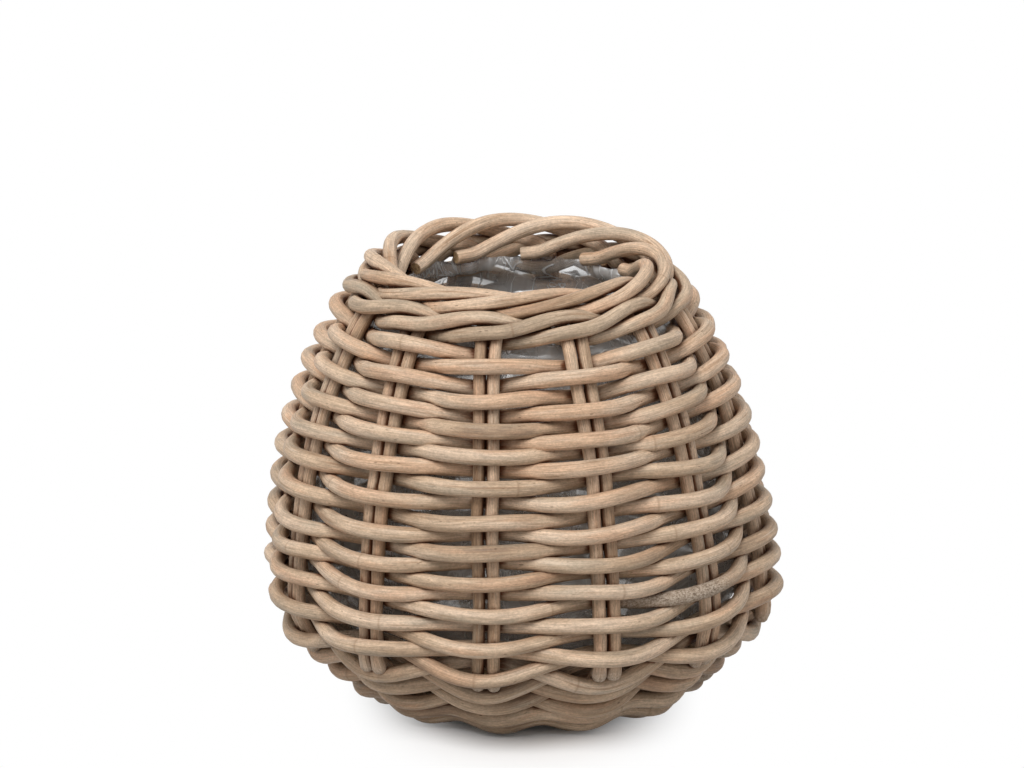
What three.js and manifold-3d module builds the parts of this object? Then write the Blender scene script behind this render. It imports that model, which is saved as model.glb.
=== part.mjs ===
// A round rattan cachepot, woven rod by rod, with a clear film liner inside.
// Millimetres, +Z up. The origin is on the floor, under the middle of the pot.
// Angles are in degrees from the front (-Y), growing towards +X.
import * as THREE from 'three';
import { mergeVertices } from 'three/addons/utils/BufferGeometryUtils.js';
import Module from 'manifold-3d';

// Outline of the pot
const HEIGHT = 350;            // floor to the crest of the rolled border
const BELLY_DIAMETER = 405;    // over the weave, at the widest ring
const BELLY_HEIGHT = 92;
const FOOT_RADIUS = 95;        // where the flat base ends and the wall weave starts
const FOOT_WIDTH = 14;         // flat ring that the pot stands on
const FOOT_CORNER_LENGTH = 12; // run of the turn from the base into the flank
const FLANK_RADIUS = 161;      // a point halfway up the sloping flank
const FLANK_HEIGHT = 56;
const SHOULDER_RADIUS = 166.5;
const SHOULDER_DROP = 133;     // below the crest
const COLLAR_RADIUS = 130;
const COLLAR_DROP = 49;
const NECK_RADIUS = 109;       // where the stakes leave the weave
const NECK_DROP = 28;

// Rods
const STAKE_DIAMETER = 9.8;
const WEAVER_DIAMETER = 10.7;
const WALE_DIAMETER = 10.4;
const SPOKE_DIAMETER = 11;
const BASE_WEAVER_DIAMETER = 8;
const ROD_SIDES = 6;
const STAKE_SIDES = 5;

// Fits between rods
const ROD_CLEARANCE = 0.5;     // a rod passing in front of or behind another
const ROW_CLEARANCE = 0.3;     // least gap between a row and the row below
const PAIR_GAP = 1.2;          // between the two stakes of a pair
const END_GAP = 0.6;           // between two rods laid end to end
const FOOT_CUT = 0.8;          // depth of the flat worn under the lowest row
const CHORD_SAG = 0.3;         // how far a straight step may leave a bent stake
const STATION_STEP = 1;        // spacing at which a bent stake is tried for a new station

// Weave
const STAKE_PAIRS = 12;
const FIRST_PAIR_ANGLE = -10;
const PASS_SPREAD = 3;         // straight run of a weaver past each stake's centre line
const FIRST_ROW = 1.5;         // first row, measured along the wall from the foot
const STRAND_STARTS = [5, 12]; // pair crossings where the two weavers are tucked in
const STRAND_LAG = 11;         // crossing at which the second weaver is level with the first row
const RODS_PER_STRAND = 7;     // each weaver is pieced from this many rods
const FOOTING = 45;            // rows below this length all lie outside the spokes
const STAKE_FOOT = 91;         // stakes start at the first gap between rows past this length
const STAKE_FLARE = 5.5;       // how far the cut end of a stake pokes out
const FLARE_EASE = 1.8;        // how far it still stands out half a row higher
const FLARE_ROWS = 1.2;        // rows above its end where a stake lies straight
const WALE_RODS = 3;
const WALE_BOW = 1;            // the wale swells out between two stakes
const WALE_CLIMB = 0.65;       // share of its rise that a wale rod has at the edges of a climb
const WALE_CROSS = 0.4;        // share of its distance out that it has on its way through the wall
const CROSS_EARLY = 0.3;       // shares of the way from one pair to the next
const CROSS_LATE = 0.7;

// Rolled border
const ROLL_RADIUS = 9;             // rod centre line round the middle of the roll
const ROLL_RING_RADIUS = 106;      // middle of the roll round the mouth
const ROLL_ANGLE_PER_PAIR = 92;    // turn about the roll from one stake to the next
const ROLL_START_ANGLE = -35;      // turn at which a stake joins the roll, from the outside
const ROLL_END_ANGLE = 200;
const ROLL_LEAD_ANGLE = 10;        // angle round the mouth before a stake joins the roll
const NECK_BARE = 3;               // bare length of a stake between the wale and the neck
const NECK_RISE = 4;               // a stake stands up this far above the neck before it bends over
const NECK_LEAD_ANGLE = 1.7;
const BYE_STAKE_DROP = 4;          // the shorter stake of a pair ends this far below the neck
const ROLL_STEPS = 9;
const TIP_DROP = 6;                // the cut end inside the mouth hangs down this far
const TIP_LEAD_ANGLE = 7;

// Base
const SLATH_HALF = 20;         // half length of the crossing in the middle of the base
const FAN_GAP = 3.5;           // between the place where the sticks have fanned out and the first row
const BASE_BAND_WIDTH = 23;    // woven ring in the base
const BASE_EDGE_GAP = 3;       // between the last base row and the first wall row

// Liner
const LINER_WALL = 1.2;
const LINER_STEP = 24;         // length of wall between two rings of the liner
const LINER_SEGMENTS = 24;
const LINER_HEADROOM = 4;      // below the cut ends of the border

const FULL_TURN = 360;
const QUARTER_TURN = 90;
const PAIR_STEP = FULL_TURN / STAKE_PAIRS;
const PAIR_OFFSET = (STAKE_DIAMETER + PAIR_GAP) / 2;
const PASS_HALF = PAIR_OFFSET + PASS_SPREAD;
const PASS_OUT = (Math.max(STAKE_DIAMETER, SPOKE_DIAMETER) + WEAVER_DIAMETER) / 2 + ROD_CLEARANCE;
const WALE_OUT = (STAKE_DIAMETER + WALE_DIAMETER) / 2 + ROD_CLEARANCE;
const WALE_RISE = (WALE_DIAMETER + ROD_CLEARANCE) / 2;
const WALE_HALF_HEIGHT = WALE_RISE + WALE_DIAMETER / 2;
const WALL_HALF = PASS_OUT + WEAVER_DIAMETER / 2;
const BASE_HEIGHT = WALL_HALF - FOOT_CUT;

const wasm = await Module();
wasm.setup();

// Centre line of the stakes, from the foot to the neck, as radius and height
const bend = new THREE.Vector2(FOOT_RADIUS + FOOT_WIDTH + FOOT_CORNER_LENGTH, BASE_HEIGHT);
const flank = new THREE.Vector2(FLANK_RADIUS, FLANK_HEIGHT);
const bendEnd = flank.clone().sub(bend).setLength(FOOT_CORNER_LENGTH).add(bend);
const profile = new THREE.Path()
  .moveTo(FOOT_RADIUS, BASE_HEIGHT)
  .lineTo(FOOT_RADIUS + FOOT_WIDTH, BASE_HEIGHT)
  .quadraticCurveTo(bend.x, bend.y, bendEnd.x, bendEnd.y)
  .splineThru([
    flank,
    new THREE.Vector2(BELLY_DIAMETER / 2 - WALL_HALF, BELLY_HEIGHT),
    new THREE.Vector2(SHOULDER_RADIUS, HEIGHT - SHOULDER_DROP),
    new THREE.Vector2(COLLAR_RADIUS, HEIGHT - COLLAR_DROP),
    new THREE.Vector2(NECK_RADIUS, HEIGHT - NECK_DROP),
  ]);
const wallLength = profile.getLength();
const waleLevel = wallLength - WALE_HALF_HEIGHT - NECK_BARE;
const weaveTop = waleLevel - WALE_HALF_HEIGHT - ROW_CLEARANCE - WEAVER_DIAMETER / 2;

// The rows spread evenly from the foot to the wale, in whole turns of both weavers
const lateTurns = (STRAND_STARTS[1] - STRAND_LAG) / STAKE_PAIRS;
const closestRows = 2 * (WEAVER_DIAMETER + ROW_CLEARANCE);
const weaveTurns = Math.floor((weaveTop - FIRST_ROW) / closestRows - lateTurns);
const rowPitch = (weaveTop - FIRST_ROW) / (2 * (weaveTurns + lateTurns));

function around(angle, radius, height) {
  const turn = THREE.MathUtils.degToRad(angle);
  return new THREE.Vector3(radius * Math.sin(turn), -radius * Math.cos(turn), height);
}

// Radius, height and outward normal of the wall at a length along its profile
function wallAt(along) {
  const share = THREE.MathUtils.clamp(along / wallLength, 0, 1);
  const place = profile.getPoint(share);
  const rise = profile.getTangent(share);
  return { radius: place.x, height: place.y, outX: rise.y, outZ: -rise.x, heading: rise.angle() };
}

// A station of a rod on the wall: shift is sideways along the ring, out is away from the wall
function wallStation(angle, along, out, shift = 0) {
  const wall = wallAt(along);
  const turned = angle + THREE.MathUtils.radToDeg(shift / wall.radius);
  return {
    point: around(turned, wall.radius + out * wall.outX, wall.height + out * wall.outZ),
    up: around(turned, wall.outX, wall.outZ),
  };
}

function pairAngle(crossing) {
  return FIRST_PAIR_ANGLE + crossing * PAIR_STEP;
}

// A rod of even thickness through its stations, closed at both ends.
// A corner of the section follows each station's up, or is carried on without twist.
function rodGeometry(stations, diameter, sides) {
  const positions = [];
  const indices = [];
  const up = new THREE.Vector3();
  const last = stations.length - 1;
  stations.forEach((station, i) => {
    const forward = new THREE.Vector3();
    for (const end of [Math.max(i, 1), Math.min(i + 1, last)]) {
      forward.add(stations[end].point.clone().sub(stations[end - 1].point).normalize());
    }
    forward.normalize();
    up.copy(station.up ?? up).addScaledVector(forward, -forward.dot(station.up ?? up)).normalize();
    const side = forward.clone().cross(up);
    for (let k = 0; k < sides; k += 1) {
      const turn = (2 * Math.PI * k) / sides;
      const corner = station.point.clone()
        .addScaledVector(up, Math.cos(turn) * diameter / 2)
        .addScaledVector(side, Math.sin(turn) * diameter / 2);
      positions.push(corner.x, corner.y, corner.z);
    }
  });
  for (let i = 0; i < last; i += 1) {
    for (let k = 0; k < sides; k += 1) {
      const a = i * sides + k;
      const b = i * sides + (k + 1) % sides;
      indices.push(a, b, b + sides, a, b + sides, a + sides);
    }
  }
  const top = last * sides;
  for (let k = 1; k < sides - 1; k += 1) {
    indices.push(0, k + 1, k, top, top + k, top + k + 1);
  }
  const geometry = new THREE.BufferGeometry();
  geometry.setAttribute('position', new THREE.Float32BufferAttribute(positions, 3));
  geometry.setIndex(indices);
  return geometry;
}

function toSolid(geometry) {
  const bare = geometry.clone();
  bare.deleteAttribute('normal');
  bare.deleteAttribute('uv');
  const merged = mergeVertices(bare);
  return new wasm.Manifold(new wasm.Mesh({
    numProp: 3,
    vertProperties: new Float32Array(merged.attributes.position.array),
    triVerts: new Uint32Array(merged.index.array),
  }));
}

// Flat under the lowest row, where the pot has worn itself level on the floor
function cutLevel(geometry) {
  const below = new THREE.BoxGeometry(BELLY_DIAMETER, BELLY_DIAMETER, BASE_HEIGHT);
  below.translate(0, 0, -BASE_HEIGHT / 2);
  const mesh = toSolid(geometry).subtract(toSolid(below)).getMesh();
  const level = new THREE.BufferGeometry();
  level.setAttribute('position', new THREE.Float32BufferAttribute(mesh.vertProperties, 3));
  level.setIndex(Array.from(mesh.triVerts));
  return level;
}

// Which side of a stake pair a weaver passes: 1 in front, -1 behind.
// A weaver is tucked in behind a spoke, and then lies outside of all spokes up to the footing.
function passSide(strand, crossing) {
  const tucked = crossing === STRAND_STARTS[strand];
  const outside = rowLevel(strand, crossing) < FOOTING && !tucked;
  return outside || (crossing + strand) % 2 === 0 ? 1 : -1;
}

// Level of a weaver at a crossing: both climb two rows in each turn, half a turn apart
function rowLevel(strand, crossing) {
  const start = strand === 0 ? STRAND_STARTS[0] : STRAND_LAG;
  return FIRST_ROW + 2 * rowPitch * (crossing - start) / STAKE_PAIRS;
}

function weaverStations(strand, first, final) {
  const stations = [];
  for (let crossing = first; crossing <= final; crossing += 1) {
    const level = rowLevel(strand, crossing);
    const reach = THREE.MathUtils.radToDeg(PASS_HALF / wallAt(level).radius) / PAIR_STEP;
    const out = passSide(strand, crossing) * PASS_OUT;
    const shifts = [
      crossing === first ? END_GAP / 2 : -PASS_HALF,
      crossing === final ? -END_GAP / 2 : PASS_HALF,
    ];
    for (const shift of shifts) {
      const along = rowLevel(strand, crossing + reach * shift / PASS_HALF);
      stations.push(wallStation(pairAngle(crossing), along, out, shift));
    }
  }
  return stations;
}

// Weaver rods, each cut where it lies behind a stake pair
function weaverRuns() {
  const runs = [];
  const crossings = weaveTurns * STAKE_PAIRS;
  STRAND_STARTS.forEach((start, strand) => {
    const cut = (rod) => start + 2 * Math.round(rod * crossings / RODS_PER_STRAND / 2);
    for (let rod = 0; rod < RODS_PER_STRAND; rod += 1) {
      runs.push({ strand, first: cut(rod), final: cut(rod + 1) });
    }
  });
  return runs.sort((a, b) => rowLevel(a.strand, a.first) - rowLevel(b.strand, b.first));
}

// A stake pair starts midway between two front rows
function stakeFoot(pair) {
  const strand = pair % 2;
  let crossing = pair;
  while (rowLevel(strand, crossing) + rowPitch < STAKE_FOOT) {
    crossing += STAKE_PAIRS;
  }
  return rowLevel(strand, crossing) + rowPitch;
}

// Lengths along the wall at which a bent stick needs a station
function wallSteps(from, to) {
  const steps = [from];
  for (let along = from + STATION_STEP; along < to - STATION_STEP; along += STATION_STEP) {
    const start = steps[steps.length - 1];
    const bow = Math.abs(wallAt(along).heading - wallAt(start).heading) * (along - start) / 8;
    if (bow > CHORD_SAG) {
      steps.push(along);
    }
  }
  return [...steps, to];
}

// Wall part of a stake: its cut end leans out between two rows, then it runs up the wall
function stakeWall(pair, shift, top) {
  const foot = stakeFoot(pair);
  const angle = pairAngle(pair);
  return [
    wallStation(angle, foot - ROD_CLEARANCE, STAKE_FLARE, shift),
    wallStation(angle, foot + rowPitch / 2, FLARE_EASE, shift),
    ...wallSteps(foot + rowPitch * FLARE_ROWS, top).map((along) => wallStation(angle, along, 0, shift)),
  ];
}

function rollStation(angle, turn) {
  const rollHeight = HEIGHT - ROLL_RADIUS - STAKE_DIAMETER / 2;
  const about = THREE.MathUtils.degToRad(turn);
  const radius = ROLL_RING_RADIUS + ROLL_RADIUS * Math.cos(about);
  return { point: around(angle, radius, rollHeight + ROLL_RADIUS * Math.sin(about)) };
}

// Border part of a stake: bent over to the right, rolled over the crest and cut off inside
function stakeBorder(pair) {
  const neck = wallAt(wallLength);
  const angle = pairAngle(pair) - THREE.MathUtils.radToDeg(PAIR_OFFSET / neck.radius);
  const stations = [
    { point: around(angle + NECK_LEAD_ANGLE, neck.radius, neck.height + NECK_RISE) },
  ];
  const lead = (ROLL_END_ANGLE - ROLL_START_ANGLE) * PAIR_STEP / ROLL_ANGLE_PER_PAIR;
  for (let step = 0; step <= ROLL_STEPS; step += 1) {
    const share = step / ROLL_STEPS;
    const turn = THREE.MathUtils.lerp(ROLL_START_ANGLE, ROLL_END_ANGLE, share);
    stations.push(rollStation(angle + ROLL_LEAD_ANGLE + lead * share, turn));
  }
  const tip = rollStation(angle + ROLL_LEAD_ANGLE + lead + TIP_LEAD_ANGLE, ROLL_END_ANGLE);
  tip.point.z -= TIP_DROP;
  return [...stations, tip];
}

// Wale: each rod passes in front of two pairs, climbing, then behind the third
function waleStations(rod) {
  const stations = [];
  const start = rod + WALE_RODS - 1;
  const final = start + STAKE_PAIRS;
  const crossOut = WALE_OUT * WALE_CROSS;
  const bowOut = WALE_OUT + WALE_BOW;
  const put = (crossing, shift, rise, out) => {
    stations.push(wallStation(pairAngle(crossing), waleLevel + rise * WALE_RISE, out, shift));
  };
  put(start, END_GAP / 2, 0, -WALE_OUT);
  for (let crossing = start; crossing < final; crossing += WALE_RODS) {
    put(crossing, PASS_HALF, -0.5, -WALE_OUT);
    put(crossing + CROSS_EARLY, 0, -1, -crossOut);
    put(crossing + CROSS_LATE, 0, -1, crossOut);
    put(crossing + 1, -PASS_HALF, -1, WALE_OUT);
    put(crossing + 1, PASS_HALF, -1, WALE_OUT);
    put(crossing + 1 + CROSS_EARLY, 0, -WALE_CLIMB, bowOut);
    put(crossing + 1 + CROSS_LATE, 0, WALE_CLIMB, bowOut);
    put(crossing + 2, -PASS_HALF, 1, WALE_OUT);
    put(crossing + 2, PASS_HALF, 1, WALE_OUT);
    put(crossing + 2 + CROSS_EARLY, 0, 1, crossOut);
    put(crossing + 2 + CROSS_LATE, 0, 1, -crossOut);
    put(crossing + WALE_RODS, -PASS_HALF, 0.5, -WALE_OUT);
  }
  put(final, -END_GAP / 2, 0, -WALE_OUT);
  return stations;
}

const scene = new THREE.Group();
scene.name = 'rattan_cachepot';

function rattan(color) {
  return new THREE.MeshStandardMaterial({ color, roughness: 0.7, metalness: 0, flatShading: true });
}

function addRod(name, geometry, color) {
  const mesh = new THREE.Mesh(geometry, rattan(color));
  mesh.name = name;
  scene.add(mesh);
}

function numbered(name, index) {
  return `${name}_${String(index + 1).padStart(2, '0')}`;
}

// Twelve stakes that end in the border, each with a shorter stake at its right
for (let pair = 0; pair < STAKE_PAIRS; pair += 1) {
  const stake = [...stakeWall(pair, -PAIR_OFFSET, wallLength), ...stakeBorder(pair)];
  addRod(numbered('stake', pair), rodGeometry(stake, STAKE_DIAMETER, STAKE_SIDES), 0xc9a878);
  const byStake = stakeWall(pair, PAIR_OFFSET, wallLength - BYE_STAKE_DROP);
  addRod(numbered('bye_stake', pair), rodGeometry(byStake, STAKE_DIAMETER, STAKE_SIDES), 0xc2a073);
}

// Weavers, from the foot to the wale
weaverRuns().forEach((run, index) => {
  const rod = rodGeometry(weaverStations(run.strand, run.first, run.final), WEAVER_DIAMETER, ROD_SIDES);
  const standsOnFloor = rowLevel(run.strand, run.first) < FOOT_WIDTH;
  addRod(numbered('weaver', index), standsOnFloor ? cutLevel(rod) : rod, 0xbf9f80);
});

for (let rod = 0; rod < WALE_RODS; rod += 1) {
  addRod(numbered('wale_rod', rod), rodGeometry(waleStations(rod), WALE_DIAMETER, ROD_SIDES), 0xc4a47c);
}

// Base sticks: three laid across three, each fanning out to a spoke at both ends
const stickGroup = STAKE_PAIRS / 4;
const down = new THREE.Vector3(0, 0, -1);
const baseEdge = FOOT_RADIUS - (WEAVER_DIAMETER + BASE_WEAVER_DIAMETER) / 2 - BASE_EDGE_GAP;
const baseRowStart = baseEdge - BASE_BAND_WIDTH;
const fanRadius = baseRowStart - FAN_GAP;

function spokeStations(pair) {
  const end = stakeFoot(pair) - STAKE_DIAMETER / 2 - END_GAP - ROD_CLEARANCE;
  const wall = wallSteps(0, end).map((along) => wallStation(pairAngle(pair), along, 0));
  const fan = { point: around(pairAngle(pair), fanRadius, BASE_HEIGHT), up: down };
  return [fan, ...wall];
}

for (let stick = 0; stick < STAKE_PAIRS / 2; stick += 1) {
  const layer = stick < stickGroup ? -1 : 1;
  const middle = layer < 0 ? 1 : 1 + stickGroup;
  const place = stick % stickGroup - 1;
  const heading = around(pairAngle(middle), 1, 0);
  const across = around(pairAngle(middle) + QUARTER_TURN, place * (SPOKE_DIAMETER + ROD_CLEARANCE), 0);
  const height = BASE_HEIGHT + layer * (SPOKE_DIAMETER + ROD_CLEARANCE) / 2;
  const slath = [-SLATH_HALF, SLATH_HALF].map((run) => ({
    point: heading.clone().multiplyScalar(run).add(across).setZ(height),
    up: down,
  }));
  const far = spokeStations((middle + STAKE_PAIRS / 2 - place) % STAKE_PAIRS);
  const near = spokeStations(middle + place);
  const rod = rodGeometry([...far.reverse(), ...slath, ...near], SPOKE_DIAMETER, STAKE_SIDES);
  addRod(numbered('base_stick', stick), rod, 0xb8976a);
}

// Two thin weavers chase each other round the spokes of the base
const basePitch = BASE_WEAVER_DIAMETER + ROW_CLEARANCE;
const baseOut = (SPOKE_DIAMETER + BASE_WEAVER_DIAMETER) / 2 + ROD_CLEARANCE;
const baseCrossings = Math.floor(BASE_BAND_WIDTH * STAKE_PAIRS / (2 * basePitch));
for (let strand = 0; strand < 2; strand += 1) {
  const stations = [];
  for (let crossing = 0; crossing <= baseCrossings; crossing += 1) {
    const out = ((crossing + strand) % 2 === 0 ? -1 : 1) * baseOut;
    const radius = baseRowStart + 2 * basePitch * crossing / STAKE_PAIRS;
    for (const side of [-1, 1]) {
      const shift = side * THREE.MathUtils.radToDeg(SPOKE_DIAMETER / 2 / radius);
      const angle = pairAngle(crossing + strand * STAKE_PAIRS / 2) + shift;
      const drift = 2 * basePitch * shift / FULL_TURN;
      stations.push({ point: around(angle, radius + drift, BASE_HEIGHT - out), up: down });
    }
  }
  addRod(numbered('base_weaver', strand), rodGeometry(stations, BASE_WEAVER_DIAMETER, ROD_SIDES), 0xb39268);
}

// Film liner that follows the inside of the weave and stops under the border
function linerSide(inset) {
  const floor = BASE_HEIGHT + inset;
  const top = HEIGHT - 2 * ROLL_RADIUS - STAKE_DIAMETER - LINER_HEADROOM;
  const points = [new THREE.Vector2(0, floor), new THREE.Vector2(FOOT_RADIUS, floor)];
  const rings = Math.ceil((wallLength - FOOT_WIDTH) / LINER_STEP);
  for (let ring = 1; ring <= rings; ring += 1) {
    const wall = wallAt(THREE.MathUtils.lerp(FOOT_WIDTH, wallLength, ring / rings));
    const place = new THREE.Vector2(wall.radius - inset * wall.outX, wall.height - inset * wall.outZ);
    if (place.y > points[points.length - 1].y + LINER_WALL) {
      points.push(place);
    }
  }
  return [...points, new THREE.Vector2(points[points.length - 1].x, top)];
}

const linerInset = WALL_HALF + ROD_CLEARANCE;
const linerProfile = [...linerSide(linerInset), ...linerSide(linerInset + LINER_WALL).reverse()];
const liner = new THREE.Mesh(
  new THREE.LatheGeometry(linerProfile, LINER_SEGMENTS).rotateX(Math.PI / 2),
  new THREE.MeshStandardMaterial({ color: 0xd5d8d8, roughness: 0.15, metalness: 0 }),
);
liner.name = 'liner';
scene.add(liner);

export default scene;
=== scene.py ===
# %% [markdown]
# # A woven rattan cachepot
# The pot is a basket of thick rattan rods with a film liner inside. A frame of plain
# solids, one for each rod, is loaded first. Every rod is then made again along the same
# route, rounder, less even and with a real surface, and stands in for its solid.

# %% The frame
import math

import bmesh
import bpy
import numpy as np
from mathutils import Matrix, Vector, kdtree, noise


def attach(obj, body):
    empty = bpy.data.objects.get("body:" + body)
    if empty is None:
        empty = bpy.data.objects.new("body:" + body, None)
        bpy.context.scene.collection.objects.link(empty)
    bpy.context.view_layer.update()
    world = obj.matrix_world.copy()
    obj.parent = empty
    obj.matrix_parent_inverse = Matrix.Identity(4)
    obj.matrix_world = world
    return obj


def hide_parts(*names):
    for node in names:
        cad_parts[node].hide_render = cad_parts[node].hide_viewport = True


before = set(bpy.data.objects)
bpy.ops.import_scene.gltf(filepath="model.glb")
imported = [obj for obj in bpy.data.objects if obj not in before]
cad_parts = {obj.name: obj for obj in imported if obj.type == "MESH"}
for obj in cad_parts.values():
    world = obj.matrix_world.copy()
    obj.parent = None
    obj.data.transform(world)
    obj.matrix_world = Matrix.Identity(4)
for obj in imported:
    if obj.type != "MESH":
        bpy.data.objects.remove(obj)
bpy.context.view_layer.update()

scene = bpy.context.scene

# %% [markdown]
# ## Camera
# A product photographer stands well back and uses a long lens, so that the rows of the
# weave stay nearly parallel. The camera looks down by about fifteen degrees, far enough
# to see into the mouth. It aims a little above the middle, because the pot sits low in
# the picture.

# %% Camera
MM = 0.001
CAMERA_AIM = Vector((-8.5, 0, 244.3)) * MM
CAMERA_ELEVATION = math.radians(15.5)
CAMERA_DISTANCE = 6.0
SENSOR_WIDTH = 36.0
VIEW_WIDTH = 787.7 * MM

backwards = Vector((0, -math.cos(CAMERA_ELEVATION), math.sin(CAMERA_ELEVATION)))
camera = bpy.data.objects.new("camera", bpy.data.cameras.new("camera"))
camera.data.sensor_width = SENSOR_WIDTH
camera.data.lens = SENSOR_WIDTH * CAMERA_DISTANCE / VIEW_WIDTH
camera.location = CAMERA_AIM + backwards * CAMERA_DISTANCE
camera.rotation_euler = backwards.to_track_quat("Z", "Y").to_euler()
scene.collection.objects.link(camera)
scene.camera = camera
print("lens:", round(camera.data.lens), "mm")

# %% [markdown]
# ## Materials as short recipes
# A finish is a chain of nodes: a texture is stretched, turned into a mask and mixed with
# a colour. A few helpers keep each link on one line, so that a recipe reads from the
# coordinates to the shader.


# %% Node helpers
def new_material(name):
    """An empty node tree with its Principled shader."""
    material = bpy.data.materials.new(name)
    material.use_nodes = True
    return material, material.node_tree, material.node_tree.nodes["Principled BSDF"]


def feed(tree, socket, value):
    """Put a number, a colour or another node's output into a socket."""
    if isinstance(value, bpy.types.NodeSocket):
        tree.links.new(value, socket)
    else:
        socket.default_value = value


def attribute(tree, name):
    node = tree.nodes.new("ShaderNodeAttribute")
    node.attribute_name = name
    return node


def stretched(tree, vector, scale):
    """Coordinates scaled along each axis, so that a texture runs along the rod."""
    node = tree.nodes.new("ShaderNodeMapping")
    node.vector_type = "POINT"
    node.inputs["Scale"].default_value = scale
    tree.links.new(vector, node.inputs["Vector"])
    return node.outputs["Vector"]


def cloudy(tree, vector, scale, detail=2.0, roughness=0.5):
    node = tree.nodes.new("ShaderNodeTexNoise")
    node.inputs["Scale"].default_value = scale
    node.inputs["Detail"].default_value = detail
    node.inputs["Roughness"].default_value = roughness
    tree.links.new(vector, node.inputs["Vector"])
    return node.outputs["Fac"]


def cells(tree, vector, scale, feature="F1"):
    node = tree.nodes.new("ShaderNodeTexVoronoi")
    node.feature = feature
    node.inputs["Scale"].default_value = scale
    tree.links.new(vector, node.inputs["Vector"])
    return node.outputs["Distance"]


def between(tree, value, low, high, out_low=0.0, out_high=1.0):
    """Read a value from low to high as a smooth mask."""
    node = tree.nodes.new("ShaderNodeMapRange")
    node.interpolation_type = "SMOOTHSTEP"
    tree.links.new(value, node.inputs["Value"])
    spans = zip(("From Min", "From Max", "To Min", "To Max"), (low, high, out_low, out_high))
    for label, number in spans:
        node.inputs[label].default_value = number
    return node.outputs["Result"]


def reckon(tree, operation, first, second):
    node = tree.nodes.new("ShaderNodeMath")
    node.operation = operation
    feed(tree, node.inputs[0], first)
    feed(tree, node.inputs[1], second)
    return node.outputs["Value"]


def blended(tree, factor, first, second, mode="MIX"):
    node = tree.nodes.new("ShaderNodeMix")
    node.data_type = "RGBA"
    node.blend_type = mode
    feed(tree, node.inputs["Factor"], factor)
    feed(tree, node.inputs["A"], first)
    feed(tree, node.inputs["B"], second)
    return node.outputs["Result"]


def toned(tree, value, stops):
    """A colour ramp from (position, colour) stops."""
    node = tree.nodes.new("ShaderNodeValToRGB")
    ramp = node.color_ramp
    while len(ramp.elements) < len(stops):
        ramp.elements.new(0.5)
    for element, (position, colour) in zip(ramp.elements, stops):
        element.position = position
        element.color = colour
    tree.links.new(value, node.inputs["Fac"])
    return node.outputs["Color"]


def raised(tree, height, strength, distance):
    node = tree.nodes.new("ShaderNodeBump")
    node.inputs["Strength"].default_value = strength
    node.inputs["Distance"].default_value = distance
    tree.links.new(height, node.inputs["Height"])
    return node.outputs["Normal"]


def paint(red, green, blue):
    """A colour as a painter's chart gives it, from 0 to 255, made linear for the shader."""
    linear = [((part / 255 + 0.055) / 1.055) ** 2.4 for part in (red, green, blue)]
    return (*linear, 1.0)


print("node helpers ready")

# %% [markdown]
# ## Floor and light
# The pot stands on a white sweep under a large soft lamp at the upper left, with a
# white room around it. The floor is a plain pale plane. Only what the camera sees of it
# is lifted to white, and it keeps a soft shadow only close round the foot.


# %% Floor
def make_floor():
    form = bmesh.new()
    bmesh.ops.create_grid(form, x_segments=1, y_segments=1, size=FLOOR_HALF)
    mesh = bpy.data.meshes.new("floor")
    form.to_mesh(mesh)
    form.free()
    floor = bpy.data.objects.new("floor", mesh)
    scene.collection.objects.link(floor)
    return floor


def seen_directly(tree):
    """One for camera, mirror and glass rays, nought for the light that falls on things."""
    path = tree.nodes.new("ShaderNodeLightPath")
    seen = reckon(tree, "MAXIMUM", path.outputs["Is Camera Ray"], path.outputs["Is Glossy Ray"])
    return reckon(tree, "MAXIMUM", seen, path.outputs["Is Transmission Ray"])


def mixed(tree, factor, first, second):
    node = tree.nodes.new("ShaderNodeMixShader")
    for socket, value in zip(node.inputs, (factor, first, second)):
        feed(tree, socket, value)
    return node.outputs["Shader"]


FLOOR_HALF = 12.0
FLOOR_BOUNCE = 0.42
FLOOR_ROUGHNESS = 0.9
SHADOW_HALF_WIDTH = 0.135
SHADOW_HALF_DEPTH = 0.3
SHADOW_FADE = (0.42, 1.05)
WHITE = (1, 1, 1, 1)

floor = make_floor()
floor_finish, tree, shader = new_material("floor_white")
shader.inputs["Base Color"].default_value = (FLOOR_BOUNCE, FLOOR_BOUNCE, FLOOR_BOUNCE, 1)
shader.inputs["Roughness"].default_value = FLOOR_ROUGHNESS
shaded = tree.nodes.new("ShaderNodeBsdfDiffuse")
shaded.inputs["Color"].default_value = WHITE
glow = tree.nodes.new("ShaderNodeEmission")
glow.inputs["Strength"].default_value = 1.0
place = tree.nodes.new("ShaderNodeTexCoord").outputs["Object"]
reach = tree.nodes.new("ShaderNodeVectorMath")
reach.operation = "LENGTH"
shadow_scale = (1 / SHADOW_HALF_WIDTH, 1 / SHADOW_HALF_DEPTH, 0)
feed(tree, reach.inputs[0], stretched(tree, place, shadow_scale))
lit = between(tree, reach.outputs["Value"], *SHADOW_FADE)
shown = mixed(tree, lit, shaded.outputs["BSDF"], glow.outputs["Emission"])
whole = mixed(tree, seen_directly(tree), shader.outputs["BSDF"], shown)
feed(tree, tree.nodes["Material Output"].inputs["Surface"], whole)
floor.data.materials.append(floor_finish)
print("floor:", 2 * FLOOR_HALF, "m wide")

# %% Light
ROOM_LIGHT = 0.61
LAMP_STRENGTH = 2.1
LAMP_SOFTNESS = math.radians(34)
LAMP_TOWARDS = Vector((0.3, 0.7, -1.0))

world = bpy.data.worlds.new("white_room")
scene.world = world
world.use_nodes = True
tree = world.node_tree
backdrop = tree.nodes["Background"]
backdrop.inputs["Color"].default_value = WHITE
room_level = between(tree, seen_directly(tree), 0, 1, ROOM_LIGHT, 1.0)
feed(tree, backdrop.inputs["Strength"], room_level)

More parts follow.
